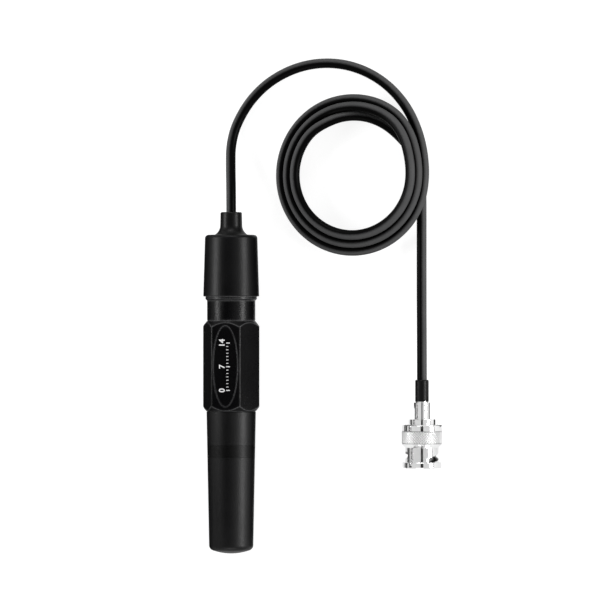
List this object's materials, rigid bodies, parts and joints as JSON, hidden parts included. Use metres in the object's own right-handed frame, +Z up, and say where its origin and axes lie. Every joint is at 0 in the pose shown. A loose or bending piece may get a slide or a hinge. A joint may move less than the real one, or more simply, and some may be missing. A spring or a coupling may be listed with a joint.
{
  "type": "ph electrode",
  "caption": "Laboratory pH probe with a six-sided grip, a pull-off storage cap and a coiled lead that ends in a bayonet coaxial plug.",
  "frame": {"origin": "on the floor under the middle of the electrode, which lies on its side, its free lead and plug left out", "axes": "+Y along the electrode towards its lead, +X towards the plug, +Z up"},
  "size_m": [0.0863, 0.1768, 0.0199],
  "materials": {
    "black_plastic": "moulded, fine satin texture",
    "cap_rubber": "soft, matt",
    "relief_rubber": "soft, satin",
    "lead_jacket": "satin vinyl",
    "shaft_plastic": "smooth",
    "sensor_glass": "clear blown glass",
    "silver_wire": "chlorided",
    "seal_rubber": "smooth",
    "resin": "cast",
    "ceramic": "porous",
    "sponge": "open foam",
    "core_plastic": "extruded",
    "copper": "drawn",
    "nickel": "bright plated",
    "white_polymer": "turned",
    "gilt": "plated",
    "gasket_silicone": "smooth",
    "spring_steel": "rolled"
  },
  "bodies": {
    "electrode": {"grip_body": "black_plastic", "nose_ring": "seal_rubber", "spigot_ring": "seal_rubber", "shaft": "shaft_plastic", "glass_sensor": "sensor_glass", "stem_stopper": "seal_rubber", "inner_wire": "silver_wire", "lower_seal": "seal_rubber", "ceramic_junction": "ceramic", "upper_seal": "resin", "reference_wire": "silver_wire", "top_cap": "black_plastic", "strain_relief": "relief_rubber", "cable_clamp": "nickel", "jacket_end": "lead_jacket", "lead_core": "core_plastic", "signal_crimp": "copper", "screen_tail": "copper", "screen_crimp": "copper", "plug_sleeve": "relief_rubber", "crimp_ferrule": "nickel", "plug_braid": "copper", "plug_body": "nickel", "outer_contact": "nickel", "insulator": "white_polymer", "centre_contact": "gilt", "plug_core": "core_plastic", "face_gasket": "gasket_silicone", "spring_washers": "spring_steel", "lead_coil": "lead_jacket", "lead_arc": "lead_jacket", "lead_run": "lead_jacket"},
    "storage_cap": {"storage_cap": "black_plastic", "storage_cap_band": "cap_rubber", "storage_sponge": "sponge"},
    "nut_carrier": {"thrust_washer": "spring_steel"},
    "coupling_nut": {"coupling_nut": "nickel", "retaining_ring": "spring_steel"}
  },
  "joints": [
    {"name": "cap_pull", "type": "slide", "parent": "electrode", "child": "storage_cap", "axis": [0, -1, 0], "range_m": [0, 0.062]},
    {"name": "nut_draw", "type": "slide", "parent": "electrode", "child": "nut_carrier", "axis": [0, -1, 0], "range_m": [0, 0.001], "stiffness_N_per_m": 400, "springref_m": -0.0015, "deforming": ["spring_washers"]},
    {"name": "nut_spin", "type": "hinge", "parent": "nut_carrier", "child": "coupling_nut", "pos_m": [0.0688, 0, 0.00725], "axis": [0, -1, 0], "continuous": true}
  ]
}
